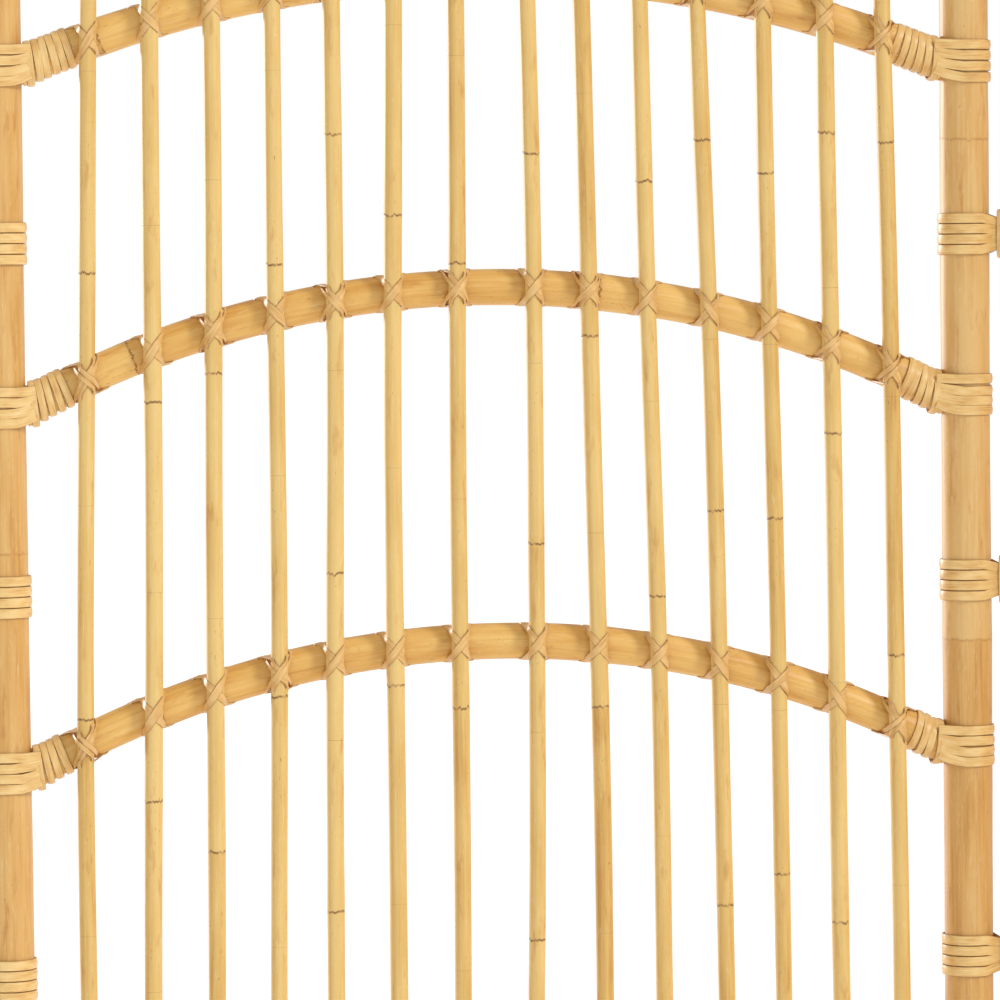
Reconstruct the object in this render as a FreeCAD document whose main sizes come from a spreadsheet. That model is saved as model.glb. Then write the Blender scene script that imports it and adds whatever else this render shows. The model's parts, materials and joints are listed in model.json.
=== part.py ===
import FreeCAD, Part
import math
import os
import Sketcher

# Three-panel folding screen of rattan poles. The origin is on the floor under the middle of the
# middle panel: X runs along that panel, -Y is its front (the spindle side) and +Z is up.

Vector = FreeCAD.Vector
Rotation = FreeCAD.Rotation
Placement = FreeCAD.Placement
Z_AXIS = Vector(0, 0, 1)
Y_AXIS = Vector(0, 1, 0)
X_AXIS = Vector(1, 0, 0)

DRIVING = {
    "post_diameter": 25,
    "post_top": 1700,
    "post_spacing": 485,
    "post_top_round": 6,
    "rail_diameter": 18,
    "rail_rise": 57,
    "rail_first_height": 90,
    "rail_top_margin": 35,
    "spindle_diameter": 8.5,
    "spindle_side_gap": 28.5,
    "spindle_foot_height": 45,
    "spindle_top_reach": 12,
    "fit_gap": 0.1,
    "wrap_gap": 0.3,
    "cane_thickness": 1.4,
    "lashing_cane_width": 4,
    "lashing_cane_thickness": 1.2,
    "lashing_spread": 8.5,
    "strap_strand_width": 5.2,
    "strap_strand_pitch": 5.6,
    "strap_leg_reach": 4.5,
    "rail_wrap_turn": 5,
    "screw_diameter": 3.5,
    "screw_head_diameter": 7,
    "screw_head_length": 3,
    "screw_bite": 14,
    "glide_diameter": 22,
    "glide_thickness": 4,
    "glide_stem_diameter": 6,
    "glide_stem_length": 14,
    "fold_clearance": 2.2,
    "hinge_drop": 3,
    "neck_length": 7,
    "neck_clearance": 4,
    "neck_depth": 8,
    "neck_overlap": 1.4,
    "standing_angle": 40,
}
RAIL_COUNT = 10
SPINDLE_COUNT = 14
STRAND_COUNT = 4
PANELS = ("left", "middle", "right")

# The screen is tied by hand: small shifts of rails (up) and spindles (sideways) from even spacing.
RAIL_SHIFTS = {0: -15, 1: -25, 2: -30.5, 3: -5.5, 5: -7.0}
SPINDLE_SHIFTS = (3.1, 5.4, 5.1, 5.4, 2.9, 1.6, 3.1, 10.4, 8.6, 7.4, 6.6, 5.1, 3.9, 2.9)

doc = FreeCAD.newDocument("folding_screen")
sheet = doc.addObject("Spreadsheet::Sheet", "Sheet")
for row, (alias, number) in enumerate(DRIVING.items(), start=1):
    sheet.set(f"A{row}", alias)
    sheet.set(f"B{row}", str(number))
    sheet.setAlias(f"B{row}", alias)
doc.recompute()


def size(alias):
    """One driving dimension, read from the sheet."""
    return float(sheet.get(alias))


post_radius = size("post_diameter") / 2
rail_radius = size("rail_diameter") / 2
spindle_radius = size("spindle_diameter") / 2
post_x = size("post_spacing") / 2
half_bay = post_x - post_radius
bend_radius = (half_bay ** 2 + size("rail_rise") ** 2) / (2 * size("rail_rise"))
spindle_y = -(rail_radius + spindle_radius + size("fit_gap"))

# The same bend radius and sweep as expressions of the sheet, for the sketches.
HALF_BAY = "((Sheet.post_spacing - Sheet.post_diameter) / 2)"
BEND_RADIUS = f"(({HALF_BAY} ^ 2 + Sheet.rail_rise ^ 2) / (2 * Sheet.rail_rise))"

# A screw's flat head is sunk until its rim is level with the round post, clear of the strap over it.
head_face = math.sqrt(post_radius ** 2 - (size("screw_head_diameter") / 2) ** 2)
HEAD_FACE = "sqrt((Sheet.post_diameter / 2) ^ 2 - (Sheet.screw_head_diameter / 2) ^ 2)"

# The neighbouring posts stand far enough apart for the two panels' lashings to clear when folded, and
# for the cane round each post to draw in to the neck between them.
lashing_front = rail_radius + 2 * spindle_radius + 2 * size("fit_gap") + size("lashing_cane_thickness")
lobe_radius = post_radius + size("wrap_gap") + size("cane_thickness")
folding_reach = 2 * lashing_front + size("fold_clearance")
neck_reach = 2 * lobe_radius + size("neck_length") + size("neck_clearance")
hinge_reach = max(folding_reach, neck_reach)

rail_pitch = (size("post_top") - size("rail_first_height") - size("rail_top_margin")) / (RAIL_COUNT - 1)
rail_heights = []
for number in range(RAIL_COUNT):
    even = size("rail_first_height") + number * rail_pitch
    rail_heights.append(even + RAIL_SHIFTS.get(number, 0))

spindle_pitch = 2 * (half_bay - size("spindle_side_gap")) / (SPINDLE_COUNT - 1)
spindle_places = []
for number in range(SPINDLE_COUNT):
    even = (number - (SPINDLE_COUNT - 1) / 2) * spindle_pitch
    spindle_places.append(even + SPINDLE_SHIFTS[number])


def arch_height(x):
    """Height of a rail's centre line above its ends, at x from the panel's middle."""
    return size("rail_rise") - bend_radius + math.sqrt(bend_radius ** 2 - x ** 2)


def arch_slope(x):
    """Angle of the rail's centre line to the horizontal at x, in degrees, positive when it climbs."""
    return -math.degrees(math.asin(x / bend_radius))


def panel_placement(panel):
    """Where a panel's own frame stands: the outer panels are folded to the standing zigzag."""
    if panel == "middle":
        return Placement()
    side = 1 if panel == "right" else -1
    angle = size("standing_angle")
    link = Rotation(Z_AXIS, -angle / 2).multVec(Vector(side * hinge_reach, 0, 0))
    turned = Rotation(Z_AXIS, -angle)
    hinge_post = Vector(side * post_x, 0, 0) + link
    middle = hinge_post + turned.multVec(Vector(side * post_x, 0, 0))
    return Placement(middle, turned)


def origin_plane(body, role):
    """The body's own origin plane with the given role."""
    return next(item for item in body.Origin.OriginFeatures if item.Role == role)


def new_sketch(body, name, role, lift=None):
    """A sketch on an origin plane of the body, lifted off it by an expression of the sheet."""
    sketch = body.newObject("Sketcher::SketchObject", name)
    sketch.AttachmentSupport = (origin_plane(body, role), [""])
    sketch.MapMode = "FlatFace"
    if lift:
        sketch.setExpression(".AttachmentOffset.Base.z", lift)
    return sketch


def add_circle(sketch, name, radius, y):
    """A circle on the sketch's vertical axis, its radius bound to an expression of the sheet."""
    index = sketch.addGeometry(Part.Circle(Vector(0, y, 0), Z_AXIS, 1), False)
    if y:
        sketch.addConstraint(Sketcher.Constraint("PointOnObject", index, 3, -2))
        height = sketch.addConstraint(Sketcher.Constraint("DistanceY", -1, 1, index, 3, y))
        sketch.renameConstraint(height, name + "_height")
    else:
        sketch.addConstraint(Sketcher.Constraint("Coincident", index, 3, -1, 1))
    bound = sketch.addConstraint(Sketcher.Constraint("Radius", index, 1))
    sketch.renameConstraint(bound, name + "_radius")
    sketch.setExpression(f"Constraints.{name}_radius", radius)
    return index


def own_part(name, shape, placement):
    """A node whose shape is worked out from the sheet's sizes by Part's own functions."""
    feature = doc.addObject("Part::Feature", name)
    feature.Label = name
    feature.Shape = shape
    feature.Placement = placement
    return feature


def build_post(panel, side):
    """A rattan pole with a rounded top. Across it run the rail screws' holes, each with a seat for
    the head on the outer side, and its foot is bored for the glide's stem."""
    name = f"{panel}_panel_{side}_post"
    body = doc.addObject("PartDesign::Body", name)
    body.Label = name

    foot = new_sketch(body, name + "_section", "XY_Plane", "Sheet.glide_thickness")
    add_circle(foot, "post", "Sheet.post_diameter / 2", 0)
    pole = body.newObject("PartDesign::Pad", name + "_pole")
    pole.Profile = foot
    pole.setExpression("Length", "Sheet.post_top - Sheet.glide_thickness")
    doc.recompute()

    top = body.newObject("PartDesign::Fillet", name + "_rounded_top")
    rims = []
    for number, edge in enumerate(pole.Shape.Edges, start=1):
        if edge.BoundBox.ZMin > size("post_top") - 1:
            rims.append(f"Edge{number}")
    top.Base = (pole, rims)
    top.setExpression("Radius", "Sheet.post_top_round")

    bore = body.newObject("PartDesign::SubtractiveCylinder", name + "_stem_bore")
    bore.setExpression("Radius", "Sheet.glide_stem_diameter / 2 + Sheet.fit_gap")
    bore.setExpression("Height", "Sheet.glide_thickness + Sheet.glide_stem_length + 1")

    holes = new_sketch(body, name + "_screw_holes", "YZ_Plane")
    seat_floor = HEAD_FACE + " - Sheet.screw_head_length"
    seats = new_sketch(body, name + "_head_seats", "YZ_Plane", seat_floor)
    for number, height in enumerate(rail_heights):
        add_circle(holes, f"hole{number}", "Sheet.screw_diameter / 2 + Sheet.fit_gap", height)
        add_circle(seats, f"seat{number}", "Sheet.screw_head_diameter / 2 + Sheet.fit_gap", height)
    drilled = body.newObject("PartDesign::Pocket", name + "_drilled")
    drilled.Profile = holes
    drilled.Midplane = True
    drilled.setExpression("Length", "Sheet.post_diameter + 2")
    seated = body.newObject("PartDesign::Pocket", name + "_seated")
    seated.Profile = seats
    seated.Reversed = True
    seated.setExpression("Length", "Sheet.screw_head_length + 1")

    outward = Rotation(Z_AXIS, 180 if side == "left" else 0)
    place = Placement(Vector(post_x if side == "right" else -post_x, 0, 0), outward)
    body.Placement = panel_placement(panel) * place
    return body


def build_rail(panel, number):
    """A rattan pole bent to an arc, each end coped to its post and drilled for its screw."""
    name = f"{panel}_panel_rail_{number + 1:02d}"
    body = doc.addObject("PartDesign::Body", name)
    body.Label = name

    section = new_sketch(body, name + "_section", "YZ_Plane")
    pole = add_circle(section, "rail", "Sheet.rail_diameter / 2", size("rail_rise"))
    section.setExpression("Constraints.rail_height", "Sheet.rail_rise")
    level = size("rail_rise") - bend_radius
    axis = section.addGeometry(Part.LineSegment(Vector(-10, level, 0), Vector(10, level, 0)), True)
    section.addConstraint(Sketcher.Constraint("Horizontal", axis))
    drop = section.addConstraint(Sketcher.Constraint("DistanceY", axis, 1, pole, 3, bend_radius))
    section.renameConstraint(drop, "bend_radius")
    section.setExpression("Constraints.bend_radius", BEND_RADIUS)

    bent = body.newObject("PartDesign::Revolution", name + "_bent_pole")
    bent.Profile = section
    bent.ReferenceAxis = (section, ["Axis0"])
    bent.Midplane = True
    bent.setExpression("Angle", f"2 * asin(Sheet.post_spacing / 2 / {BEND_RADIUS})")

    for end, side in (("left", -1), ("right", 1)):
        cope = body.newObject("PartDesign::SubtractiveCylinder", f"{name}_{end}_cope")
        cope.Placement = Placement(Vector(side * post_x, 0, -2 * size("rail_rise")), Rotation())
        cope.setExpression(".Placement.Base.x", f"{side} * Sheet.post_spacing / 2")
        cope.setExpression("Radius", "Sheet.post_diameter / 2 + Sheet.fit_gap")
        cope.setExpression("Height", "4 * Sheet.rail_rise")
        hole = body.newObject("PartDesign::SubtractiveCylinder", f"{name}_{end}_screw_hole")
        reach = half_bay - size("screw_bite") - 1
        hole.Placement = Placement(Vector(side * reach, 0, 0), Rotation(Y_AXIS, side * 90))
        hole.setExpression("Radius", "Sheet.screw_diameter / 2 + Sheet.fit_gap")
        hole.setExpression("Height", "Sheet.post_diameter + Sheet.screw_bite")

    body.Placement = panel_placement(panel) * Placement(Vector(0, 0, rail_heights[number]), Rotation())
    return body


def build_spindles(panel):
    """Fourteen thin rods in front of the rails, their tops cut along the top rail's arch."""
    name = f"{panel}_panel_spindles"
    rods = []
    top_line = rail_heights[-1] + rail_radius + size("spindle_top_reach")
    for number, x in enumerate(spindle_places):
        rod = doc.addObject("Part::Cylinder", f"{name}_rod_{number + 1:02d}")
        rod.setExpression("Radius", "Sheet.spindle_diameter / 2")
        rod.Height = top_line + arch_height(x) - size("spindle_foot_height")
        rod.Placement = Placement(Vector(x, spindle_y, size("spindle_foot_height")), Rotation())
        rods.append(rod)
    group = doc.addObject("Part::Compound", name)
    group.Label = name
    group.Links = rods
    group.Placement = panel_placement(panel)
    return group


def build_glides(panel):
    """A plastic disc under each post with a stem that is pressed into the post's foot."""
    name = f"{panel}_panel_glides"
    pair = []
    for end, x in (("left", -post_x), ("right", post_x)):
        disc = doc.addObject("Part::Cylinder", f"{name}_{end}_disc")
        disc.setExpression("Radius", "Sheet.glide_diameter / 2")
        disc.setExpression("Height", "Sheet.glide_thickness")
        stem = doc.addObject("Part::Cylinder", f"{name}_{end}_stem")
        stem.setExpression("Radius", "Sheet.glide_stem_diameter / 2")
        stem.setExpression("Height", "Sheet.glide_thickness + Sheet.glide_stem_length")
        glide = doc.addObject("Part::Fuse", f"{name}_{end}")
        glide.Base = disc
        glide.Tool = stem
        glide.Placement = Placement(Vector(x, 0, 0), Rotation())
        pair.append(glide)
    group = doc.addObject("Part::Compound", name)
    group.Label = name
    group.Links = pair
    group.Placement = panel_placement(panel)
    return group


def screw_shape():
    """A round-shanked wood screw along +X, its head's outer face at x = 0."""
    head = size("screw_head_diameter") / 2
    shank = size("screw_diameter") / 2
    length = size("post_diameter") + size("screw_bite")
    neck = size("screw_head_length")
    outline = [
        Vector(0, 0, 0),
        Vector(0, head, 0),
        Vector(neck, shank, 0),
        Vector(length - 2 * shank, shank, 0),
        Vector(length, 0, 0),
        Vector(0, 0, 0),
    ]
    return Part.Face(Part.makePolygon(outline)).revolve(Vector(0, 0, 0), X_AXIS, 360)


def strand_wire(radius, reach, leg_y):
    """A closed outline round a post at the origin: an arc on the outer side (-X) and two straight
    tangents to the points (reach, +-leg_y), closed across them."""
    distance = math.hypot(reach, leg_y)
    turn = math.atan2(leg_y, reach) + math.acos(radius / distance)
    upper = Vector(radius * math.cos(turn), radius * math.sin(turn), 0)
    lower = Vector(upper.x, -upper.y, 0)
    arc = Part.Arc(upper, Vector(-radius, 0, 0), lower).toShape()
    edges = [arc, Part.makeLine(lower, Vector(reach, -leg_y, 0))]
    if leg_y:
        edges.append(Part.makeLine(Vector(reach, -leg_y, 0), Vector(reach, leg_y, 0)))
    edges.append(Part.makeLine(Vector(reach, leg_y, 0), upper))
    return Part.Wire(edges)


def strand_stack(solid, width):
    """Four strands one above another, centred on z = 0."""
    stack = []
    for number in range(STRAND_COUNT):
        middle = (number - (STRAND_COUNT - 1) / 2) * size("strap_strand_pitch")
        strand = solid.copy()
        strand.translate(Vector(0, 0, middle - width / 2))
        stack.append(strand)
    return stack


def post_strap_strands():
    """Four cane strands round the outer side of a left post, their legs along the rail's sides."""
    width = size("strap_strand_width")
    inside = post_radius + size("fit_gap")
    reach = post_radius + size("strap_leg_reach")
    leg = rail_radius + size("wrap_gap")
    outer = strand_wire(inside + size("cane_thickness"), reach, leg + size("cane_thickness"))
    inner = strand_wire(inside, reach, leg)
    band = Part.Face(outer).extrude(Vector(0, 0, width))
    space = Part.Face(inner).extrude(Vector(0, 0, width))
    return strand_stack(band.cut(space), width)


def rail_sleeve(x_from, x_to):
    """Turns of cane round a rail's right end, a row of flat bands with bevelled edges. They start
    square to the rail at x_from and stop at an upright plane at x_to, short of the post's strap."""
    inside = rail_radius + size("wrap_gap")
    outside = inside + size("cane_thickness")
    groove = outside - size("cane_thickness") / 3
    turn = size("rail_wrap_turn")
    slope = math.radians(arch_slope((x_from + x_to) / 2))
    length = (x_to - x_from) / math.cos(slope) + outside * abs(math.tan(slope))
    turns = math.ceil(length / turn)
    end = turns * turn
    outline = [Vector(0, inside, 0)]
    for number in range(turns):
        left = number * turn
        outline.append(Vector(left, groove, 0))
        outline.append(Vector(left + turn / 4, outside, 0))
        outline.append(Vector(left + 3 * turn / 4, outside, 0))
    outline += [Vector(end, groove, 0), Vector(end, inside, 0), Vector(0, inside, 0)]
    sleeve = Part.Face(Part.makePolygon(outline)).revolve(Vector(0, 0, 0), X_AXIS, 360)
    base = Vector(x_from, 0, arch_height(x_from))
    sleeve.Placement = Placement(base, Rotation(Y_AXIS, -math.degrees(slope)))
    tall = 4 * size("rail_diameter")
    beyond = Part.makeBox(2 * turn + tall, tall, 2 * tall, Vector(x_to, -tall / 2, base.z - 1.5 * tall))
    return sleeve.cut(beyond)


def lashing(x):
    """One cane lashing: a turn round the rail on each side of the spindle and two strips that cross
    over the spindle's front from turn to turn. Fused, because it is one length of cane."""
    thick = size("lashing_cane_thickness")
    width = size("lashing_cane_width")
    spread = size("lashing_spread")
    inside = rail_radius + size("fit_gap")
    centre_radius = inside + thick / 2
    rings = []
    cores = []
    anchors = {}
    for side in (-1, 1):
        place = x + side * spread
        centre = Vector(place, 0, arch_height(place))
        turned = Rotation(Y_AXIS, -arch_slope(place))
        along = turned.multVec(X_AXIS)
        up = turned.multVec(Z_AXIS)
        start = centre - along * (width / 2)
        ring = Part.makeCylinder(inside + thick, width, start, along)
        rings.append(ring.cut(Part.makeCylinder(inside, width, start, along)))
        cores.append(Part.makeCylinder(inside, 3 * width, start - along * width, along))
        lift = math.sqrt(centre_radius ** 2 - (centre_radius / 3) ** 2)
        anchors[side] = (centre + up * lift, centre - up * lift)
    rod_radius = spindle_radius + size("fit_gap") / 2
    rod_foot = Vector(x, spindle_y, arch_height(x) - 3 * spread)
    cores.append(Part.makeCylinder(rod_radius, 6 * spread, rod_foot))
    front = spindle_y - spindle_radius - size("fit_gap")
    meet = -centre_radius / 3
    strips = []
    for side in (-1, 1):
        high = anchors[side][0]
        low = anchors[-side][1]
        middle = (high + low) * 0.5
        rising = (high - low).normalize()
        across = rising.cross(Y_AXIS)
        reach = (high - low).Length / 2
        flat = reach / 2
        edge = thick / 2
        upper_half = [(flat + edge, front - thick), (reach + edge, meet)]
        upper_half += [(reach - edge, meet), (flat, front)]
        lower_half = [(-u, y) for u, y in reversed(upper_half)]
        outline = []
        for u, y in upper_half + lower_half + upper_half[:1]:
            outline.append(middle + rising * u + Y_AXIS * y - across * (width / 2))
        strip = Part.Face(Part.makePolygon(outline)).extrude(across * width)
        strips.append(strip.cut(cores))
    return rings[0].fuse([rings[1]] + strips).removeSplitter()


def copies(solids, heights):
    """Copies of the solids at every given height, as one compound."""
    placed = []
    for height in heights:
        for solid in solids:
            copy = solid.copy()
            copy.translate(Vector(0, 0, height))
            placed.append(copy)
    return Part.makeCompound(placed)


def mirrored(solid):
    """The same solid at the panel's other side."""
    return solid.mirror(Vector(0, 0, 0), X_AXIS)


def hinge_strands():
    """Four cane strands of a hinge binding in the link's frame: each is a loop round the middle
    panel's post at the origin and the neighbour's post, drawn in to a neck half-way."""
    width = size("strap_strand_width")
    inside = post_radius + size("wrap_gap")
    thick = size("cane_thickness")
    half = hinge_reach / 2
    cusp = half - size("neck_length") / 2
    lobe = Part.Face(strand_wire(inside + thick, cusp, thick)).extrude(Vector(0, 0, width))
    eye = Part.Face(strand_wire(inside, cusp, 0)).extrude(Vector(0, 0, width))
    near = lobe.cut(eye)
    far = near.mirror(Vector(half, 0, 0), X_AXIS)
    neck = Part.makeBox(size("neck_length"), 2 * thick, width, Vector(cusp, -thick, 0))
    band = near.fuse([neck, far]).removeSplitter()
    return strand_stack(band, width)


def neck_wrap():
    """Upright turns of cane round the four strands between the posts, a rounded ring."""
    length = size("neck_length")
    depth = size("neck_depth")
    thick = size("cane_thickness")
    strands = (STRAND_COUNT - 1) * size("strap_strand_pitch") + size("strap_strand_width")
    room = strands / 2 + size("fit_gap")
    outside = room + size("neck_overlap")
    start = hinge_reach / 2 - length / 2
    block = Part.makeBox(length, depth, 2 * outside, Vector(start, -depth / 2, -outside))
    rims = [edge for edge in block.Edges if abs(edge.tangentAt(edge.FirstParameter).x) > 0.9]
    block = block.makeFillet(depth / 3, rims)
    side_room = thick + size("fit_gap")
    hole = Part.makeBox(length + 2, 2 * side_room, 2 * room, Vector(start - 1, -side_room, -room))
    return block.cut(hole)


# Nodes of the three panels.
nodes = []
first_lashings = [lashing(x) for x in spindle_places]
lashings = copies(first_lashings, rail_heights)

wrap_start = post_x - post_radius - size("strap_leg_reach") - size("fit_gap")
lashing_side = size("lashing_spread") + size("lashing_cane_width") / 2 + size("wrap_gap")
left_sleeve = mirrored(rail_sleeve(lashing_side - spindle_places[0], wrap_start))
right_sleeve = rail_sleeve(spindle_places[-1] + lashing_side, wrap_start)
rail_wraps = copies([left_sleeve, right_sleeve], rail_heights)

left_straps = []
for strand in post_strap_strands():
    strand.translate(Vector(-post_x, 0, 0))
    left_straps.append(strand)
right_straps = [mirrored(strand) for strand in left_straps]
straps = copies(left_straps + right_straps, rail_heights)

left_screw = screw_shape()
left_screw.translate(Vector(-post_x - head_face, 0, 0))
screws = copies([left_screw, mirrored(left_screw)], rail_heights)

for panel in PANELS:
    for side in ("left", "right"):
        nodes.append(build_post(panel, side))
    for number in range(RAIL_COUNT):
        nodes.append(build_rail(panel, number))
    nodes.append(build_spindles(panel))
    nodes.append(build_glides(panel))
    place = panel_placement(panel)
    nodes.append(own_part(f"{panel}_panel_crossing_lashings", lashings, place))
    nodes.append(own_part(f"{panel}_panel_rail_end_wraps", rail_wraps, place))
    nodes.append(own_part(f"{panel}_panel_post_straps", straps, place))
    nodes.append(own_part(f"{panel}_panel_rail_screws", screws, place))

# Nodes of the two hinge lines, one binding in the middle of each bay.
hinge_heights = []
for lower, upper in zip(rail_heights[:-1], rail_heights[1:]):
    hinge_heights.append((lower + upper) / 2 - size("hinge_drop"))
hinge_loops = copies(hinge_strands(), hinge_heights)
neck_wraps = copies([neck_wrap()], hinge_heights)
half_turn = -size("standing_angle") / 2
for side, direction in (("left", 180), ("right", 0)):
    corner = Vector(post_x if side == "right" else -post_x, 0, 0)
    link = Placement(corner, Rotation(Z_AXIS, direction + half_turn))
    nodes.append(own_part(f"{side}_hinge_loops", hinge_loops, link))
    nodes.append(own_part(f"{side}_hinge_neck_wraps", neck_wraps, link))

doc.recompute()

for item in doc.Objects:
    if "Invalid" in item.State or "Error" in item.State:
        raise RuntimeError(f"{item.Label} failed: {item.State}")
solid_counts = {"spindles": SPINDLE_COUNT, "glides": 2, "crossing_lashings": SPINDLE_COUNT * RAIL_COUNT,
                "rail_end_wraps": 2 * RAIL_COUNT, "post_straps": 2 * RAIL_COUNT * STRAND_COUNT,
                "rail_screws": 2 * RAIL_COUNT, "hinge_loops": (RAIL_COUNT - 1) * STRAND_COUNT,
                "hinge_neck_wraps": RAIL_COUNT - 1}
for node in nodes:
    shape = node.Shape
    kind = next((kind for kind in solid_counts if node.Label.endswith(kind)), None)
    expected = solid_counts.get(kind, 1)
    if shape.isNull() or not shape.isValid() or len(shape.Solids) != expected:
        raise RuntimeError(f"{node.Label}: bad shape with {len(shape.Solids)} solids, not {expected}")

os.makedirs("parts", exist_ok=True)
for node in nodes:
    node.Shape.exportStep(f"parts/{node.Label}.step")
print(len(nodes), "nodes written")
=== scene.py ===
import json
import math
import random

import bmesh
import bpy
from mathutils import Matrix, Vector


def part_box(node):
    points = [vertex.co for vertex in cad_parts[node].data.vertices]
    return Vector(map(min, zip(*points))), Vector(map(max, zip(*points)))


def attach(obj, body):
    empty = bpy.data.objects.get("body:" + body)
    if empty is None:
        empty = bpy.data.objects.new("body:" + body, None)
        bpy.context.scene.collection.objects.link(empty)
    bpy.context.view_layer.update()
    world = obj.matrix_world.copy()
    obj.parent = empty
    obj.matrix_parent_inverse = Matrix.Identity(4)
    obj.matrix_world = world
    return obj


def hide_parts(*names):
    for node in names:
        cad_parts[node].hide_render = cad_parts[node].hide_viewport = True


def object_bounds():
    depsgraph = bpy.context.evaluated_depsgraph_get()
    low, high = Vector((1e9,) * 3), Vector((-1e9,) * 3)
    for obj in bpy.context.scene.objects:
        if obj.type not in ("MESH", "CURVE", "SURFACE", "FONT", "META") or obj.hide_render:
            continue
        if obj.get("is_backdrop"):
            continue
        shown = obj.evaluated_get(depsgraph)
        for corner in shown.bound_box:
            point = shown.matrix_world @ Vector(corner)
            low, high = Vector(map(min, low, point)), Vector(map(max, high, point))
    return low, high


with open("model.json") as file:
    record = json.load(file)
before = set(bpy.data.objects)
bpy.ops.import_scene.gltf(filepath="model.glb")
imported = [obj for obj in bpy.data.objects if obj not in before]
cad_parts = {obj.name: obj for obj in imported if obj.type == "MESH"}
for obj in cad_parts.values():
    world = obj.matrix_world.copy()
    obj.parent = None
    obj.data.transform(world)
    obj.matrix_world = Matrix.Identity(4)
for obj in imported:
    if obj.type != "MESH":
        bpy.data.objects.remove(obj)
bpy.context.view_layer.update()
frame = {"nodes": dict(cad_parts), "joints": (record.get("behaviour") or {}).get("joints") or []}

# ---------------------------------------------------------------------------------------------
# The posts. Each is a thick rattan pole, scraped smooth, sanded and lacquered, with a rounded top.
# Rattan is a climbing palm: the pole has no bark and no rings, but faint nodes where leaves grew.
MM = 0.001
PANELS = ("left", "middle", "right")
POST_RADIUS = 12.5 * MM
POST_SIDES = 32
RING_STEP = 9 * MM
# The rings slid to a node, in mm along the pole from it.
NODE_RINGS = (-2.6, -0.9, 0.0, 0.9, 2.6)


def alone(obj=None):
    """Leaves nothing selected but the given object."""
    if bpy.context.object and bpy.context.object.mode != "OBJECT":
        bpy.ops.object.mode_set(mode="OBJECT")
    bpy.ops.object.select_all(action="DESELECT")
    if obj:
        obj.select_set(True)
        bpy.context.view_layer.objects.active = obj


def panel_matrix(panel):
    """The panel's own frame, from where its two posts stand: X from post to post, Z up."""
    centres = []
    for side in ("left", "right"):
        low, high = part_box(f"{panel}_panel_{side}_post")
        centres.append(Vector(((low.x + high.x) / 2, (low.y + high.y) / 2, 0)))
    along = (centres[1] - centres[0]).normalized()
    turn = Matrix.Rotation(math.atan2(along.y, along.x), 4, "Z")
    return Matrix.Translation((centres[0] + centres[1]) / 2) @ turn


PLACE = {panel: panel_matrix(panel) for panel in PANELS}


def spans(node, place, axis, gap):
    """The stretches that a node's separate solids take along one axis of a frame."""
    inverse = place.inverted()
    values = sorted({round((inverse @ v.co)[axis], 5) for v in frame["nodes"][node].data.vertices})
    found = [[values[0], values[0]]]
    for value in values:
        if value - found[-1][1] > gap:
            found.append([value, value])
        found[-1][1] = value
    return found


def pole(radius, length, sides, step, nodes, rng, swell, shades):
    """A rattan pole along +Z from the origin: a cylinder cut into rings, with rings slid to its nodes,
    where it swells a little, and its section slightly uneven in between. Returns the object. Its UV map
    holds the way round (0 to 1) and the length in metres, and two attributes say how far each point is
    from the nearest node and how pale its internode is, by the shades given from the foot up."""
    alone()
    middle = (0, 0, length / 2)
    bpy.ops.mesh.primitive_cylinder_add(vertices=sides, radius=radius, depth=length, location=middle)
    obj = bpy.context.object
    bpy.ops.object.transform_apply(location=True)
    bpy.ops.object.mode_set(mode="EDIT")
    bpy.ops.mesh.select_mode(type="EDGE")
    bpy.ops.mesh.select_all(action="DESELECT")
    net = bmesh.from_edit_mesh(obj.data)
    for edge in net.edges:
        edge.select = abs(edge.verts[0].co.z - edge.verts[1].co.z) > length / 2
    bmesh.update_edit_mesh(obj.data)
    bpy.ops.mesh.subdivide(number_cuts=int(length / step))
    bpy.ops.object.mode_set(mode="OBJECT")

    heights = sorted({round(v.co.z, 6) for v in obj.data.vertices})
    slid = dict(zip(heights, heights))
    for node in nodes:
        near = sorted(heights[1:-1], key=lambda z: abs(z - node))[:len(NODE_RINGS)]
        for z, shift in zip(sorted(near), NODE_RINGS):
            slid[z] = node + shift * MM
    marks = [0.0] + sorted(nodes) + [length]
    tones = [shades[min(place, len(shades) - 1)] for place in range(len(marks))]
    phase = [rng.uniform(0, 6.28) for _ in range(4)]

    # A ridge just above each node, a groove in it, and a section that is nowhere quite round.
    gap = obj.data.attributes.new("node_gap", "FLOAT", "POINT")
    tone = obj.data.attributes.new("internode_tone", "FLOAT", "POINT")
    for vertex in obj.data.vertices:
        z = slid[round(vertex.co.z, 6)]
        nearest = min(nodes, key=lambda n: abs(n - z)) if nodes else -1.0
        off = z - nearest
        along = sum(1 for mark in marks if mark <= z + 1e-6) - 1
        tone.data[vertex.index].value = tones[along]
        gap.data[vertex.index].value = off
        angle = math.atan2(vertex.co.y, vertex.co.x)
        grow = 1 + swell * math.exp(-((off / MM - 1.5) / 4.0) ** 2)
        grow -= 0.6 * swell * math.exp(-((off / MM + 0.2) / 0.7) ** 2)
        grow += 0.008 * math.sin(2 * angle + phase[0] + 9 * z) + 0.007 * math.sin(31 * z + phase[1])
        grow += 0.006 * math.sin(angle + 17 * z + phase[2]) + 0.004 * math.sin(97 * z + phase[3])
        vertex.co = Vector((vertex.co.x * grow, vertex.co.y * grow, z))

    # The cylinder's own map runs round the side; its length and the ends are mapped here.
    net_uv = obj.data.uv_layers[0]
    for face in obj.data.polygons:
        for loop in face.loop_indices:
            vertex = obj.data.vertices[obj.data.loops[loop].vertex_index]
            if abs(face.normal.z) > 0.9:
                around = math.atan2(vertex.co.y, vertex.co.x) / math.tau
            else:
                around = net_uv.data[loop].uv.x
            net_uv.data[loop].uv = (around, vertex.co.z)
    return obj


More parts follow.
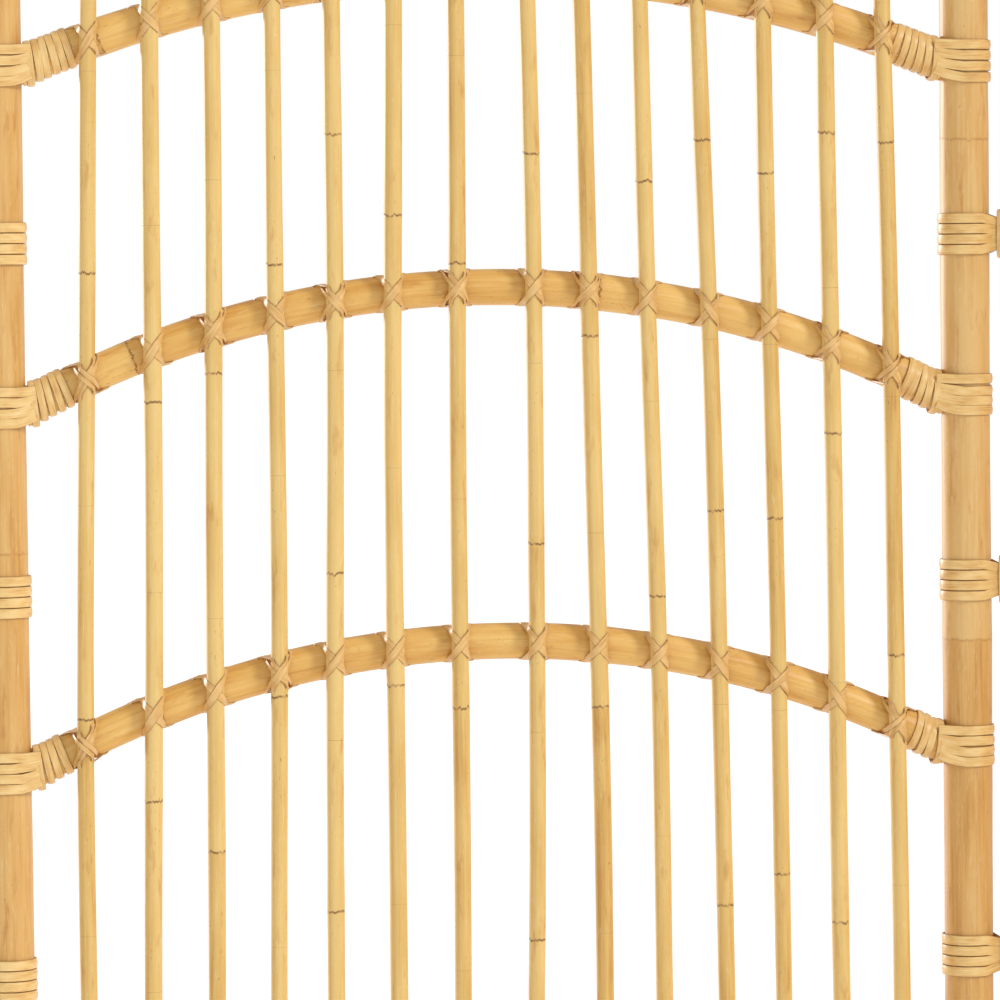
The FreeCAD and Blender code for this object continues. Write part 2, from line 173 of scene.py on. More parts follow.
def shift_uv(obj, amount):
    """Moves the pattern of a pole along it, so that no two poles show the same stretch."""
    for item in obj.data.uv_layers[0].data:
        item.uv.y += amount


def joined(objects, name):
    """Several finished solids as one piece of that name."""
    alone(objects[0])
    for obj in objects:
        obj.select_set(True)
    bpy.ops.object.join()
    whole = bpy.context.object
    whole.name = name
    whole.data.name = name
    return whole


def finish(obj, matrix, material, body, nodes, angle=40):
    """Puts a piece modelled in its own frame to its place, in its mesh, and hands it to its body."""
    obj.data.transform(matrix)
    obj.data.materials.clear()
    obj.data.materials.append(material)
    alone(obj)
    bpy.ops.object.shade_smooth_by_angle(angle=math.radians(angle))
    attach(obj, body)
    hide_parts(*nodes)


def linear(code):
    """An sRGB hex colour as linear RGBA."""
    values = []
    for start in (1, 3, 5):
        value = int(code[start:start + 2], 16) / 255
        values.append(value / 12.92 if value <= 0.04045 else ((value + 0.055) / 1.055) ** 2.4)
    return (*values, 1.0)


def grey(value):
    """A linear grey, for the masks."""
    return (value, value, value, 1.0)


def add(material, kind, inputs=None, **settings):
    """Adds a shader node. Settings are its properties, or the stops of a colour ramp; each input is a
    plain value or another node's output."""
    node = material.node_tree.nodes.new("ShaderNode" + kind)
    for place, colour in settings.pop("stops", ()):
        if place > 0:
            node.color_ramp.elements.new(place).color = colour
        else:
            node.color_ramp.elements[0].color = colour
    if kind == "ValToRGB":
        node.color_ramp.elements.remove(node.color_ramp.elements[-1])
    for key, value in settings.items():
        setattr(node, key, value)
    for key, value in (inputs or {}).items():
        if isinstance(value, bpy.types.NodeSocket):
            material.node_tree.links.new(value, node.inputs[key])
        else:
            node.inputs[key].default_value = value
    return node


def new_material(name):
    """An empty node material of that name."""
    material = bpy.data.materials.new(name)
    material.use_nodes = True
    material.node_tree.nodes.clear()
    return material


def pole_skin(material, radius):
    """A pole's skin in millimetres: (r cos, r sin, length), so that nothing shows where it closes."""
    uv = add(material, "TexCoord").outputs["UV"]
    split = add(material, "SeparateXYZ", {0: uv})
    turn = add(material, "Math", {0: split.outputs[0], 1: math.tau}, operation="MULTIPLY").outputs[0]
    cosine = add(material, "Math", {0: turn}, operation="COSINE").outputs[0]
    sine = add(material, "Math", {0: turn}, operation="SINE").outputs[0]
    across = add(material, "Math", {0: cosine, 1: radius / MM}, operation="MULTIPLY").outputs[0]
    deep = add(material, "Math", {0: sine, 1: radius / MM}, operation="MULTIPLY").outputs[0]
    along = add(material, "Math", {0: split.outputs[1], 1: 1 / MM}, operation="MULTIPLY").outputs[0]
    return add(material, "CombineXYZ", {0: across, 1: deep, 2: along}).outputs[0]


def grain(material, skin, across_mm, along_mm, detail, rough, shift):
    """Fibres or blotches on a skin, so many millimetres across it and along it."""
    scale = (1 / across_mm, 1 / across_mm, 1 / along_mm)
    place = add(material, "Mapping", {"Vector": skin, "Scale": scale, "Location": (shift, shift, shift)})
    sockets = {"Vector": place.outputs[0], "Scale": 1.0, "Detail": detail, "Roughness": rough}
    return add(material, "TexNoise", sockets).outputs[0]


def rattan(name, radius, tones, node_colour, speck_share, node_strength):
    """Peeled rattan, sanded and lacquered: honey wood with fine fibres along the pole, brown specks in
    patches, short pale waxy dashes, and at each node a thin jagged brown line. Its satin lacquer gives
    long soft highlights."""
    material = new_material(name)
    skin = pole_skin(material, radius)
    fibres = grain(material, skin, 0.55, 26, 3.0, 0.6, 0.0)
    streaks = grain(material, skin, 1.7, 60, 2.0, 0.5, 7.0)
    clouds = grain(material, skin, 9.0, 55, 2.0, 0.5, 13.0)
    tone = add(material, "Attribute", attribute_name="internode_tone").outputs["Fac"]
    blend = -0.28
    for layer, weight in ((clouds, 0.80), (streaks, 0.55), (fibres, 0.36), (tone, 0.36)):
        blend = add(material, "Math", {0: layer, 1: weight, 2: blend}, operation="MULTIPLY_ADD").outputs[0]
    deep, middle, light = (linear(code) for code in tones)
    stops = [(0.0, deep), (0.30, deep), (0.58, middle), (0.90, light)]
    colour = add(material, "ValToRGB", {0: blend}, stops=stops).outputs[0]

    # Waxy dashes where the outer skin was left on.
    none = grey(0)
    dashes = grain(material, skin, 0.7, 7.0, 1.0, 0.4, 23.0)
    stops = [(0.0, none), (0.64, none), (0.72, grey(0.18))]
    dashes = add(material, "ValToRGB", {0: dashes}, stops=stops).outputs[0]
    colour = add(material, "Mix", {0: dashes, 6: colour, 7: linear("#fbe9bf")}, data_type="RGBA").outputs[2]

    # Brown specks, many in some patches and few elsewhere.
    specks = grain(material, skin, 0.8, 3.2, 2.0, 0.6, 31.0)
    stops = [(0.0, none), (speck_share, none), (speck_share + 0.05, grey(0.7))]
    specks = add(material, "ValToRGB", {0: specks}, stops=stops).outputs[0]
    patches = grain(material, skin, 7.0, 32, 1.0, 0.5, 41.0)
    stops = [(0.0, grey(0.1)), (0.50, grey(0.1)), (0.64, grey(1))]
    patches = add(material, "ValToRGB", {0: patches}, stops=stops).outputs[0]
    specks = add(material, "Math", {0: specks, 1: patches}, operation="MULTIPLY").outputs[0]
    colour = add(material, "Mix", {0: specks, 6: colour, 7: linear("#8a5624")}, data_type="RGBA").outputs[2]

    # Soft darker stains.
    stain = grain(material, skin, 5.0, 24, 3.0, 0.6, 57.0)
    stops = [(0.0, none), (0.58, none), (0.76, grey(0.5))]
    stain = add(material, "ValToRGB", {0: stain}, stops=stops).outputs[0]
    colour = add(material, "Mix", {0: stain, 6: colour, 7: linear("#cf9a58")}, data_type="RGBA",
                 blend_type="MULTIPLY").outputs[2]

    # The nodes: a thin jagged line, worn away in places, in a paler brown band.
    gap = add(material, "Attribute", attribute_name="node_gap").outputs["Fac"]
    jag = grain(material, skin, 2.2, 400, 3.0, 0.7, 3.0)
    jag = add(material, "Math", {0: jag, 1: 5.0, 2: -2.5}, operation="MULTIPLY_ADD").outputs[0]
    line = add(material, "Math", {0: gap, 1: 1 / MM, 2: jag}, operation="MULTIPLY_ADD").outputs[0]
    near = add(material, "Math", {0: line}, operation="ABSOLUTE").outputs[0]
    strong = grey(node_strength)
    thin = add(material, "ValToRGB", {0: near}, stops=[(0.0, strong), (0.2, strong), (0.8, none)]).outputs[0]
    worn = grain(material, skin, 3.0, 60, 2.0, 0.5, 71.0)
    stops = [(0.0, grey(0.3)), (0.36, grey(0.3)), (0.52, grey(1))]
    worn = add(material, "ValToRGB", {0: worn}, stops=stops).outputs[0]
    thin = add(material, "Math", {0: thin, 1: worn}, operation="MULTIPLY").outputs[0]
    halo = add(material, "ValToRGB", {0: near}, stops=[(0.0, grey(0.4)), (0.99, none)]).outputs[0]
    colour = add(material, "Mix", {0: halo, 6: colour, 7: linear("#d39c58")}, data_type="RGBA").outputs[2]
    colour = add(material, "Mix", {0: thin, 6: colour, 7: linear(node_colour)}, data_type="RGBA").outputs[2]

    satin = add(material, "Math", {0: streaks, 1: 0.22, 2: 0.32}, operation="MULTIPLY_ADD").outputs[0]
    lift = add(material, "Math", {0: fibres, 1: 0.5, 2: streaks}, operation="MULTIPLY_ADD").outputs[0]
    lift = add(material, "Math", {0: thin, 1: -1.2, 2: lift}, operation="MULTIPLY_ADD").outputs[0]
    bump = add(material, "Bump", {"Strength": 0.35, "Distance": 0.25 * MM, "Height": lift}).outputs[0]
    lacquer = {"Base Color": colour, "Roughness": satin, "Normal": bump, "IOR": 1.5}
    wood = add(material, "BsdfPrincipled", lacquer)
    add(material, "OutputMaterial", {0: wood.outputs[0]})
    return material


# Node heights in metres and shades from the foot up, where a post has its own.
POST_NODES = {"middle_panel_right_post": (0.0685, 0.3355, 0.6625, 0.9145, 1.1985, 1.4425)}
POST_SHADES = {
    "middle_panel_left_post": (0.15,),
    "middle_panel_right_post": (0.4, 0.3, 0.05, 0.75, 0.65, 0.5),
}
POST_TONES = ("#c48d46", "#d9a75e", "#e4bb78")
post_rattan = rattan("peeled rattan pole, thick", POST_RADIUS, POST_TONES, "#a06c36", 0.70, 0.35)


def scattered_nodes(rng, start, end, shortest, longest):
    """Node heights up a pole, as unevenly as they grew."""
    found = []
    place = start + rng.uniform(0.1, 0.6) * longest
    while place < end - 0.02:
        found.append(place)
        place += rng.uniform(shortest, longest)
    return found


def make_post(panel, side):
    """One post, its foot at the bottom of its box."""
    node = f"{panel}_panel_{side}_post"
    low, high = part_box(node)
    rng = random.Random(f"{node} pole")
    length = high.z - low.z
    nodes = POST_NODES.get(node, scattered_nodes(rng, 0, length, 0.20, 0.31))
    shades = POST_SHADES.get(node, [rng.uniform(0.35, 0.75) for _ in range(9)])
    post = pole(POST_RADIUS * 0.985, length, POST_SIDES, RING_STEP, nodes, rng, 0.012, shades)
    shift_uv(post, 3.1 * PANELS.index(panel) + (1.7 if side == "right" else 0.4))

    # The top is worked round with a rasp: the end ring is bevelled in the mesh.
    alone(post)
    bpy.ops.object.mode_set(mode="EDIT")
    bpy.ops.mesh.select_all(action="DESELECT")
    net = bmesh.from_edit_mesh(post.data)
    for edge in net.edges:
        edge.select = all(v.co.z > length - 0.1 * MM for v in edge.verts)
    bmesh.update_edit_mesh(post.data)
    bpy.ops.mesh.bevel(offset=6 * MM, segments=5)
    bpy.ops.object.mode_set(mode="OBJECT")

    centre = Vector(((low.x + high.x) / 2, (low.y + high.y) / 2, low.z))
    turn = math.pi if side == "left" else math.pi / 2
    matrix = Matrix.Translation(centre) @ Matrix.Rotation(turn, 4, "Z")
    post.name = f"{panel}_{side}_post_pole"
    finish(post, matrix, post_rattan, f"{panel}_panel", [node])


for panel in PANELS:
    for side in ("left", "right"):
        make_post(panel, side)

# ---------------------------------------------------------------------------------------------
# The cross rails. Thinner rattan poles, steamed and bent to a shallow arch, ends cut to fit the
# posts. They are a shade more orange than the rods and darker in places.
RAIL_RADIUS = 9 * MM
RAIL_RISE = 57 * MM
RAIL_COUNT = 10
RAIL_SIDES = 28
# Two rails of the middle panel were bent a little otherwise: the share of the full rise, and how much
# higher the right end is tied.
EVEN_BOW = (1.0, 0.0)
RAIL_BOWS = {("middle", 6): (0.80, 0.0), ("middle", 4): (1.03, 3.4 * MM)}
post_low, post_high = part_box("middle_panel_left_post")
POST_X = -(post_low.x + post_high.x) / 2
HALF_BAY = POST_X - POST_RADIUS
BEND = (HALF_BAY ** 2 + RAIL_RISE ** 2) / (2 * RAIL_RISE)

RAIL_TONES = ("#c08436", "#dfab56", "#eec371")
rail_rattan = rattan("steam-bent rattan pole", RAIL_RADIUS, RAIL_TONES, "#75461e", 0.66, 0.7)


def arch(x, bow=EVEN_BOW):
    """How high the rail's centre line runs above its left end at x."""
    rise, tilt = bow
    return rise * (RAIL_RISE - BEND + math.sqrt(BEND ** 2 - x ** 2)) + tilt * (x / HALF_BAY + 1) / 2


def slope(x, bow=EVEN_BOW):
    """The rail's climb at x, as an angle."""
    rise, tilt = bow
    return math.atan(tilt / 2 / HALF_BAY - rise * x / math.sqrt(BEND ** 2 - x ** 2))


def rail_height(panel, number):
    """Height of a rail's ends, from its box: the crown less the rise and the pole's radius."""
    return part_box(f"{panel}_panel_rail_{number:02d}")[1].z - RAIL_RADIUS - RAIL_RISE


def make_rail(panel, number):
    """One rail: a straight pole, bent in its mesh to the arch, with its ends inside the posts."""
    node = f"{panel}_panel_rail_{number:02d}"
    rng = random.Random(f"{node} pole")
    reach = math.asin((POST_X - 9.5 * MM) / BEND)
    length = 2 * reach * BEND
    nodes = scattered_nodes(rng, 0, length, 0.17, 0.27)
    shades = [rng.uniform(0.3, 0.9) for _ in range(5)]
    rail = pole(RAIL_RADIUS * 1.01, length, RAIL_SIDES, 6 * MM, nodes, rng, 0.02, shades)
    shift_uv(rail, 2.3 * number + 31 * PANELS.index(panel))
    height = rail_height(panel, number)
    bow = RAIL_BOWS.get((panel, number), EVEN_BOW)
    for vertex in rail.data.vertices:
        angle = vertex.co.z / BEND - reach
        radius = BEND + vertex.co.x
        x = radius * math.sin(angle)
        sag = arch(x, bow) - arch(x)
        vertex.co = Vector((x, vertex.co.y, height + sag + RAIL_RISE - BEND + radius * math.cos(angle)))
    rail.name = f"{panel}_rail_{number:02d}_pole"
    finish(rail, PLACE[panel], rail_rattan, f"{panel}_panel", [node])


for panel in PANELS:
    for number in range(1, RAIL_COUNT + 1):
        make_rail(panel, number)

# ---------------------------------------------------------------------------------------------
# The rods. Fourteen thin round rattan rods stand in front of the rails of each panel, tied on where
# they cross. They are the palest pieces, and they wander by a few millimetres.
ROD_RADIUS = 4.25 * MM
ROD_SIDES = 18
# How far each rod of the middle panel stands from its even place, in mm, where it crosses the rails in
# the middle of its height: the upper one, the middle one and the lower one.
TIE_HEIGHTS = (0.93, 0.75, 0.50)
ROD_LEANS = {
    1: (0, -3.5, -5.5),
    2: (-2.5, -3.5, -6.5),
    3: (-3, -4, -6),
    4: (-4, -4, -6),
    5: (-3, -4, -6.5),
    6: (-3, -4.5, -4.5),
    7: (-4, -4.5, -5),
    8: (-5.5, -4, -6.5),
    9: (-7.5, -4, -1),
    10: (-8, -4, -0.5),
    11: (-8.5, -3.5, 0.5),
    12: (-6, -3, 0.5),
    13: (-4.5, -2.5, 0),
    14: (-5, -2, 0.5),
}
# Their shades, 0.6 where none is given, and the heights in metres of the nodes near their middle.
ROD_SHADES = {1: 0.3, 3: 0.35, 7: 0.1, 9: 0.1, 11: 0.45, 12: 0.4, 14: 0.4}
ROD_NODES = {
    1: (0.856, 0.636), 2: (0.792,), 3: (0.806,), 4: (0.859,), 5: (0.923, 0.706), 6: (0.883, 0.650),
    7: (0.859, 0.638), 8: (0.913, 0.719, 0.521), 9: (0.822, 0.637), 10: (0.899, 0.692),
    11: (0.919, 0.734, 0.536), 12: (0.902, 0.730, 0.551), 13: (0.922, 0.772), 14: (0.917, 0.660),
}
ROD_TONES = ("#cb994a", "#dfb668", "#e9c67c")
rod_rattan = rattan("peeled rattan rod", ROD_RADIUS, ROD_TONES, "#6e4820", 0.68, 0.85)


def rod_track(panel, index, z):
    """How far a rod wanders sideways from its even place at height z."""
    rng = random.Random(f"{panel} rod {index} track")
    ripple = 0.3 * MM * math.sin(17 * z + rng.uniform(0, math.tau))
    if panel != "middle":
        lean = rng.uniform(-3, 3) * MM
        return lean * math.tanh((z - 0.7) / 0.26) + 2 * ripple
    # The rod bows evenly through its three ties, and less and less beyond them.
    upper, middle, lower, z = (math.tanh((height - 0.72) / 0.4) for height in (*TIE_HEIGHTS, z))
    high, even, low = (lean * MM for lean in ROD_LEANS[index])
    bow = high * (z - middle) * (z - lower) / ((upper - middle) * (upper - lower))
    bow += even * (z - upper) * (z - lower) / ((middle - upper) * (middle - lower))
    bow += low * (z - upper) * (z - middle) / ((lower - upper) * (lower - middle))
    return bow + ripple


rod_spans = {panel: spans(f"{panel}_panel_spindles", PLACE[panel], 0, 5 * MM) for panel in PANELS}


def make_rods(panel):
    """A panel's rods, as one piece. Returns how far they stand before the rails."""
    node = f"{panel}_panel_spindles"
    inverse = PLACE[panel].inverted()
    corners = [inverse @ v.co for v in frame["nodes"][node].data.vertices]
    foot = min(c.z for c in corners)
    depth = (min(c.y for c in corners) + max(c.y for c in corners)) / 2
    rods = []
    for index, (low, high) in enumerate(rod_spans[panel], start=1):
        rng = random.Random(f"{panel} rod {index}")
        centre = (low + high) / 2
        top = max(c.z for c in corners if low <= c.x <= high)
        length = top - foot
        known = ROD_NODES[index] if panel == "middle" else ()
        nodes = [z - foot for z in known]
        if known:
            lower, upper = min(nodes), max(nodes)
            while lower > 0.3:
                lower -= rng.uniform(0.16, 0.25)
                nodes.append(lower)
            while upper < length - 0.25:
                upper += rng.uniform(0.16, 0.25)
                nodes.append(upper)
        else:
            nodes = scattered_nodes(rng, 0, length, 0.15, 0.25)
        own = ROD_SHADES.get(index, 0.6) if panel == "middle" else rng.uniform(0.2, 0.8)
        shades = [own + rng.uniform(-0.35, 0.35) for _ in range(12)]
        thick = ROD_RADIUS * rng.uniform(0.98, 1.05)
        rod = pole(thick, length, ROD_SIDES, RING_STEP, sorted(nodes), rng, 0.035, shades)
        shift_uv(rod, 4.7 * index + 90 * PANELS.index(panel))
        rod.data.transform(Matrix.Rotation(math.pi / 2, 4, "Z"))
        for vertex in rod.data.vertices:
            vertex.co.z += foot
            vertex.co.x += centre + rod_track(panel, index, vertex.co.z)
            vertex.co.y += depth
        rods.append(rod)
    whole = joined(rods, f"{panel}_rods")
    finish(whole, PLACE[panel], rod_rattan, f"{panel}_panel", [node])
    return depth


rod_depths = {panel: make_rods(panel) for panel in PANELS}

# ---------------------------------------------------------------------------------------------
# The crossing lashings. At every crossing a strip of split cane is wound over the rod from corner to
# corner, round the back of the rail and over the rod the other way, so that its front shows an X.
STRIP_THICKNESS = 0.7 * MM


def cane(name, tones):
    """Split cane: the outer skin of the rattan, cut to thin flat strips and wound damp. Its glossy skin is
    tan with fine fibres along the strip. Its cut edges are darker: partly their own brown, partly painted
    shade for the crease where neighbouring strands meet."""
    material = new_material(name)
    uv = add(material, "TexCoord").outputs["UV"]
    split = add(material, "SeparateXYZ", {0: uv})
    across = add(material, "Math", {0: split.outputs[0], 1: 4.5}, operation="MULTIPLY").outputs[0]
    along = add(material, "Math", {0: split.outputs[1], 1: 1 / MM}, operation="MULTIPLY").outputs[0]
    skin = add(material, "CombineXYZ", {0: across, 2: along}).outputs[0]
    fibres = grain(material, skin, 0.35, 16, 3.0, 0.65, 0.0)
    clouds = grain(material, skin, 3.5, 11, 2.0, 0.5, 5.0)
    blend = -0.17
    for layer, weight in ((fibres, 0.75), (clouds, 0.6)):
        blend = add(material, "Math", {0: layer, 1: weight, 2: blend}, operation="MULTIPLY_ADD").outputs[0]
    deep, middle, light = (linear(code) for code in tones)
    stops = [(0.0, deep), (0.22, deep), (0.5, middle), (0.78, light)]
    colour = add(material, "ValToRGB", {0: blend}, stops=stops).outputs[0]

    # Brown along both cut edges, frayed by a little noise: partly their own colour, partly painted shade for
    # the crease between neighbouring strands.
    none = grey(0)
    off = add(material, "Math", {0: split.outputs[0], 1: 0.5}, operation="SUBTRACT").outputs[0]
    off = add(material, "Math", {0: off}, operation="ABSOLUTE").outputs[0]
    frayed = grain(material, skin, 2.0, 5, 2.0, 0.5, 9.0)
    edge = add(material, "Math", {0: frayed, 1: 0.07, 2: off}, operation="MULTIPLY_ADD").outputs[0]
    stops = [(0.0, none), (0.45, none), (0.53, grey(0.7))]
    edge = add(material, "ValToRGB", {0: edge}, stops=stops).outputs[0]
    # The edge brown mixed in: cut-edge colour and painted crease shade together.
    colour = add(material, "Mix", {0: edge, 6: colour, 7: linear("#8c5a2c")}, data_type="RGBA").outputs[2]

    gloss = add(material, "Math", {0: clouds, 1: 0.2, 2: 0.28}, operation="MULTIPLY_ADD").outputs[0]
    lift = add(material, "Math", {0: edge, 1: -0.6, 2: fibres}, operation="MULTIPLY_ADD").outputs[0]
    bump = add(material, "Bump", {"Strength": 0.4, "Distance": 0.2 * MM, "Height": lift}).outputs[0]
    silica = {"Base Color": colour, "Roughness": gloss, "Normal": bump, "IOR": 1.5}
    wood = add(material, "BsdfPrincipled", silica)
    add(material, "OutputMaterial", {0: wood.outputs[0]})
    return material


LASHING_TONES = ("#bd8441", "#e5b873", "#f3d093")
lashing_cane = cane("split cane, damp-wound", LASHING_TONES)

# A strip's section: shares of its width across and of its thickness up, and the UV across each.
SECTION = ((-0.5, 0.0), (-0.45, 0.7), (0.0, 1.0), (0.45, 0.7), (0.5, 0.0))
SECTION_U = (0.0, 0.05, 0.5, 0.95, 1.0, 0.0)


def wind(name, strips):
    """Winds strips of cane into one piece. Each strip is (path, outward directions, width, thickness,
    closed): its section is flat underneath and crowned on top, carried along the path."""
    points = []
    faces = []
    corners = []
    run = 0.0
    for path, outs, width, thickness, closed in strips:
        base = len(points)
        count = len(path)
        lengths = [run]
        for index in range(count):
            before = path[index - 1] if index or closed else path[index]
            after = path[(index + 1) % count] if index + 1 < count or closed else path[index]
            tangent = (after - before).normalized()
            out = outs[index] - tangent * outs[index].dot(tangent)
            out.normalize()
            across = tangent.cross(out)
            for side, lift in SECTION:
                points.append(path[index] + across * (side * width) + out * (lift * thickness))
            if index:
                lengths.append(lengths[-1] + (path[index] - path[index - 1]).length)
        for index in range(count if closed else count - 1):
            following = (index + 1) % count
            far = lengths[following] if following else lengths[-1] + (path[0] - path[-1]).length
            for corner in range(5):
                turn = (corner + 1) % 5
                faces.append((base + 5 * index + corner, base + 5 * following + corner,
                              base + 5 * following + turn, base + 5 * index + turn))
                u0, u1 = SECTION_U[corner:corner + 2]
                corners += [(u0, lengths[index]), (u0, far), (u1, far), (u1, lengths[index])]
        if not closed:
            first = tuple(base + corner for corner in range(5))
            last = tuple(base + 5 * (count - 1) + corner for corner in reversed(range(5)))
            faces += [first, last]
            corners += [(0.5, lengths[0])] * 5 + [(0.5, lengths[-1])] * 5
        run = lengths[-1] + 0.37
    mesh = bpy.data.meshes.new(name)
    mesh.from_pydata([tuple(p) for p in points], [], faces)
    layer = mesh.uv_layers.new(name="UVMap")
    for item, uv in zip(layer.data, corners):
        item.uv = uv
    obj = bpy.data.objects.new(name, mesh)
    bpy.context.scene.collection.objects.link(obj)
    alone(obj)
    bpy.ops.object.mode_set(mode="EDIT")
    bpy.ops.mesh.select_all(action="SELECT")
    bpy.ops.mesh.normals_make_consistent(inside=False)
    bpy.ops.object.mode_set(mode="OBJECT")
    return obj


def taut(samples):
    """The upper hull of (place, height) samples: the line a tight strip takes over what is under it."""
    hull = []
    for point in samples:
        while len(hull) > 1:
            (x1, y1), (x2, y2) = hull[-2], hull[-1]
            if (x2 - x1) * (point[1] - y1) - (y2 - y1) * (point[0] - x1) < 0:
                break
            hull.pop()
        hull.append(point)
    return hull


def on_hull(hull, place):
    """The hull's height at a place."""
    for (x1, y1), (x2, y2) in zip(hull[:-1], hull[1:]):
        if x1 <= place <= x2:
            return y1 + (y2 - y1) * (place - x1) / (x2 - x1)
    return hull[-1][1]


def crossing_strip(x, z, climb, rod_y, spread, first_side, shift):
    """One turn of a lashing, in the panel's frame, closed: over the rod from corner to corner, round the
    rail, over the rod the other way and round the rail again. The first strand lies on top."""
    rim = RAIL_RADIUS / math.cos(climb)
    path = []
    outs = []
    for strand in (0, 1):
        side = first_side if strand == 0 else -first_side
        track = []
        for step in range(25):
            part = 1 - step / 12
            across = side * spread * math.sin(math.pi / 2 * part) + side * shift
            up = part * rim + across * math.tan(climb)
            off_axis = up * math.cos(climb) - across * math.sin(climb)
            depth = math.sqrt(max(RAIL_RADIUS ** 2 - off_axis ** 2, 0))
            if abs(across) < ROD_RADIUS:
                depth = max(depth, -rod_y + math.sqrt(ROD_RADIUS ** 2 - across ** 2))
            track.append((part, across, up, depth))
        run = [0.0]
        for before, after in zip(track[:-1], track[1:]):
            run.append(run[-1] + math.hypot(after[1] - before[1], after[2] - before[2]))
        hull = taut([(place, point[3]) for place, point in zip(run, track)])
        for step in range(1, 24, 2):
            part, across, up, depth = track[step]
            depth = on_hull(hull, run[step]) + 0.2 * MM
            raised = STRIP_THICKNESS * math.exp(-(part / 0.33) ** 2) if strand == 0 else 0.0
            beside = min(max((abs(part) - 0.25) / 0.35, 0), 1)
            over = min(max((abs(part) - 0.70) / 0.30, 0), 1)
            out = Vector((0, -1 + 0.8 * beside, 0))
            out += Vector((math.copysign(beside * (1 - over), across), 0, math.copysign(over, part)))
            out += Vector((0.4 * across / ROD_RADIUS * (1 - beside), 0, 0))
            path.append(Vector((x + across, -depth - raised, z + up)))
            outs.append(out.normalized())
        # From the front of the rail's underside over its back to the front of its top, flaring behind.
        for step in range(6):
            angle = math.radians(-75 - 42 * step)
            flare = 1 + 0.75 * math.sin(math.pi * (step + 0.5) / 6)
            across = -side * spread * flare + side * (shift if step <= 2 else -shift)
            centre = Vector((x + across, 0, z + across * math.tan(climb)))
            up = math.sin(angle)
            out = Vector((-math.sin(climb) * up, -math.cos(angle), math.cos(climb) * up))
            path.append(centre + out * (RAIL_RADIUS + 0.15 * MM))
            outs.append(out)
    return path, outs


def make_lashings(panel):
    """A lashing at every crossing, as one piece: one wide strip, or now and then two narrow ones."""
    rng = random.Random(f"{panel} lashings")
    strips = []
    for number in range(1, RAIL_COUNT + 1):
        height = rail_height(panel, number)
        bow = RAIL_BOWS.get((panel, number), EVEN_BOW)
        for index, (low, high) in enumerate(rod_spans[panel], start=1):
            x = (low + high) / 2
            x += rod_track(panel, index, height + arch(x, bow))
            z = height + arch(x, bow)
            climb = slope(x, bow)
            spread = rng.uniform(4.5, 5.2) * MM
            first = rng.choice((1, 1, 1, -1))
            halves = ((-1.2, 2.7), (1.25, 2.4)) if rng.random() < 0.35 else ((0.0, rng.uniform(3.7, 4.5)),)
            for shift, width in halves:
                path, outs = crossing_strip(x, z, climb, rod_depths[panel], spread, first, shift * MM)
                strips.append((path, outs, width * MM, STRIP_THICKNESS, True))
    lashings = wind(f"{panel}_crossing_strips", strips)
    finish(lashings, PLACE[panel], lashing_cane, f"{panel}_panel", [f"{panel}_panel_crossing_lashings"],
           50)


for panel in PANELS:
    make_lashings(panel)

# ---------------------------------------------------------------------------------------------
# The rail ends. Each end is screwed through the post, four strands of cane go round the post over the
# screw and along both sides of the rail, and more cane is wound round the rail to hold them.
TURN_STEPS = 16
TURN_PITCH = 3.9 * MM
TURN_WIDTH = 3.95 * MM
WRAP_THICKNESS = 1.1 * MM
STRAND_COUNT = 4
STRAND_PITCH = 5.25 * MM
STRAND_WIDTH = 5.15 * MM
BINDING_TONES = ("#c88f46", "#ecc37c", "#fadfa4")
binding_cane = cane("split cane, polished", BINDING_TONES)


def rail_turn(x, z, climb, heel, loose, rng):
    """One turn of cane round a rail's end at x, a closed ring that stands off a little. It leans by heel
    from the upright: square to the rail by the rod, nearly upright by the post."""
    lean = rng.uniform(-0.07, 0.07)
    tall = 1 / math.cos(climb - heel)
    path = []
    outs = []
    for step in range(TURN_STEPS):
        angle = math.tau * step / TURN_STEPS
        rise = tall * math.cos(angle)
        out = Vector((-math.sin(heel) * rise, math.sin(angle), math.cos(heel) * rise))
        radius = RAIL_RADIUS + loose
        along = lean * math.sin(angle + 0.6) * radius
        centre = Vector((x + along * math.cos(climb), 0, z + along * math.sin(climb)))
        path.append(centre + out * radius)
        outs.append(out.normalized())
    return path, outs, TURN_WIDTH * rng.uniform(0.94, 1.04), WRAP_THICKNESS, True


def post_strand(side, height, level, rng):
    """One strand round a post: from under the rail's wrapping along its front, round the outer side of
    the post and back along the rail's other side."""
    inside = POST_RADIUS + 0.15 * MM
    leg_x = POST_RADIUS + 4 * MM
    leg_y = RAIL_RADIUS + 0.4 * MM
    turn = math.atan2(leg_y, leg_x) + math.acos(inside / math.hypot(leg_x, leg_y))
    foot_x = inside * math.cos(turn)
    foot_y = inside * math.sin(turn)
    climb = abs(math.tan(slope(POST_X - leg_x)))
    # The strands draw together along the rail, and follow its climb.
    fan = 0.80
    tilt = rng.uniform(-0.5, 0.5) * MM
    legs = []
    for face in (-1, 1):
        leg = []
        for part in (1.0, 0.66, 0.33):
            here_x = foot_x + (leg_x - foot_x) * part
            here_y = foot_y + (leg_y - foot_y) * part
            gather = part * part
            z = level * (1 - (1 - fan) * gather) + gather * climb * 4.5 * MM
            out = Vector((0.25 * -side, face, 0)).normalized()
            leg.append((Vector((-side * here_x, face * here_y, z)), out))
        legs.append(leg)
    around = []
    for step in range(17):
        angle = turn + (math.tau - 2 * turn) * step / 16
        out = Vector((-side * math.cos(angle), -math.sin(angle), 0))
        z = level + tilt * math.sin(angle)
        around.append((out * inside + Vector((0, 0, z)), out))
    whole = legs[0] + around + legs[1][::-1]
    centre = Vector((side * POST_X, 0, height))
    path = [centre + point for point, out in whole]
    outs = [out for point, out in whole]
    return path, outs, STRAND_WIDTH, WRAP_THICKNESS, False


